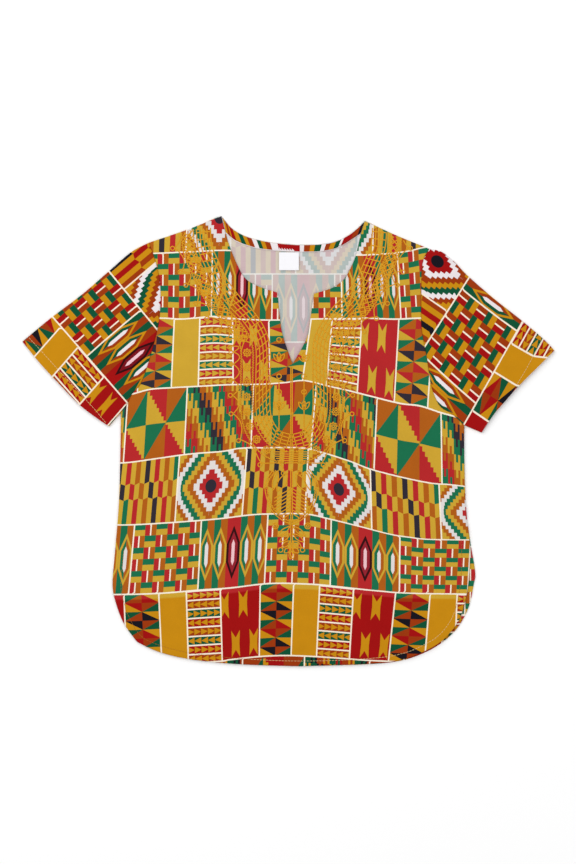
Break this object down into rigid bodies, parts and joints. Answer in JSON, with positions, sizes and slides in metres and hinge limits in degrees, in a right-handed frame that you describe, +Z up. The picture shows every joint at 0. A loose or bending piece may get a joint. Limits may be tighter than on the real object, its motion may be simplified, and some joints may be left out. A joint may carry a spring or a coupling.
{
  "type": "dashiki shirt",
  "caption": "Child's short-sleeved dashiki shirt with a V-slit round neck and rounded hem, laid flat on its back.",
  "frame": {"origin": "on the ground under the middle of the laid shirt", "axes": "+X to the viewer's right across the sleeves, +Y towards the neck, +Z up out of the shirt's front"},
  "size_m": [0.511, 0.433, 0.0048],
  "materials": {
    "printed_cotton": "smooth plain-weave cotton with a kente patchwork print, pale wrong side",
    "bias_binding": "strip of the same print",
    "woven_tag": "white satin tape",
    "embroidery_thread": "shiny golden thread"
  },
  "bodies": {
    "root": {"front": "printed_cotton", "back": "printed_cotton", "sleeve_left": "printed_cotton", "sleeve_right": "printed_cotton", "back_neck_band": "bias_binding", "size_label": "woven_tag"}
  },
  "joints": []
}
